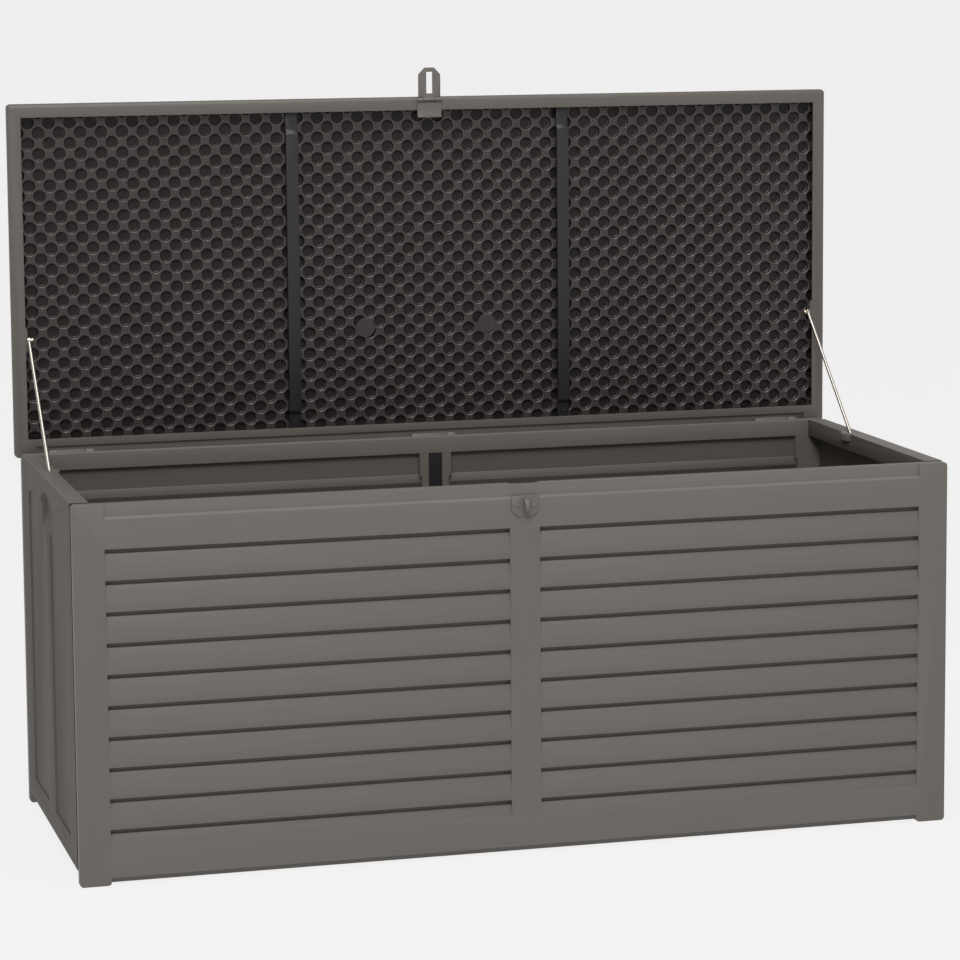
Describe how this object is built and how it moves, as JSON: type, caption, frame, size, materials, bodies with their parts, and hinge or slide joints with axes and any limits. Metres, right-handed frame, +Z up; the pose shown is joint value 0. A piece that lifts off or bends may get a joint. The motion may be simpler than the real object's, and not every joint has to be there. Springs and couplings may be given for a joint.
{
  "type": "deck storage box",
  "caption": "Outdoor storage box with lapped-board panels, a hinged lid held upright by sliding stay rods, and a hasp over a staple.",
  "frame": {"origin": "centre of the open box's bounding box, on the floor under the feet", "axes": "+X along the box's width, +Y from the front to the hinge side, +Z up"},
  "size_m": [1.477, 0.6394, 1.2555],
  "materials": {
    "resin": "moulded grey-brown resin, faintly wood grained",
    "liner": "dark brown twin-wall resin with dimples",
    "stop": "dark moulded end stop",
    "bright_steel": "bright zinc plated",
    "black_steel": "dark powder coat"
  },
  "bodies": {
    "box": {"floor_panel": "resin", "front_brace": "black_steel", "front_brace_screw_high": "bright_steel", "front_brace_screw_low": "bright_steel", "front_panel": "resin", "hinge_pin_centre": "bright_steel", "hinge_pin_left": "bright_steel", "hinge_pin_right": "bright_steel", "left_side_panel": "resin", "rear_brace": "black_steel", "rear_brace_screw_high": "bright_steel", "rear_brace_screw_low": "bright_steel", "rear_panel": "resin", "right_side_panel": "resin", "staple": "resin", "staple_screw_left": "bright_steel", "staple_screw_right": "bright_steel", "stay_guide_left": "resin", "stay_guide_right": "resin"},
    "lid": {"hasp_pin": "bright_steel", "hasp_plate": "resin", "lid_bar_left": "black_steel", "lid_bar_right": "black_steel", "lid_bar_screw_left_front": "bright_steel", "lid_bar_screw_left_rear": "bright_steel", "lid_bar_screw_right_front": "bright_steel", "lid_bar_screw_right_rear": "bright_steel", "lid_liner": "liner", "lid_panel": "resin", "stay_stud_left": "bright_steel", "stay_stud_right": "bright_steel"},
    "hasp_flap": {"hasp_flap": "resin"},
    "stay_left": {"stay_rod_left": "bright_steel", "stay_stop_left": "stop"},
    "stay_right": {"stay_rod_right": "bright_steel", "stay_stop_right": "stop"}
  },
  "joints": [
    {"name": "lid_hinge", "type": "hinge", "parent": "box", "child": "lid", "pos_m": [0, 0.288, 0.6063], "axis": [1, 0, 0], "range_deg": [0, 90]},
    {"name": "hasp_hinge", "type": "hinge", "parent": "lid", "child": "hasp_flap", "pos_m": [0, 0.2869, 1.2], "axis": [1, 0, 0], "range_deg": [0, 90]},
    {"name": "stay_left_pivot", "type": "hinge", "parent": "lid", "child": "stay_left", "pos_m": [-0.7095, 0.2969, 0.8013], "axis": [1, 0, 0], "range_deg": [-45, 0]},
    {"name": "stay_right_pivot", "type": "hinge", "parent": "lid", "child": "stay_right", "pos_m": [0.7095, 0.2969, 0.8013], "axis": [1, 0, 0], "range_deg": [-45, 0]}
  ],
  "couplings": [
    {"joint": "stay_left_pivot", "follows": "lid_hinge", "ratio": -0.5},
    {"joint": "stay_right_pivot", "follows": "lid_hinge", "ratio": -0.5}
  ]
}
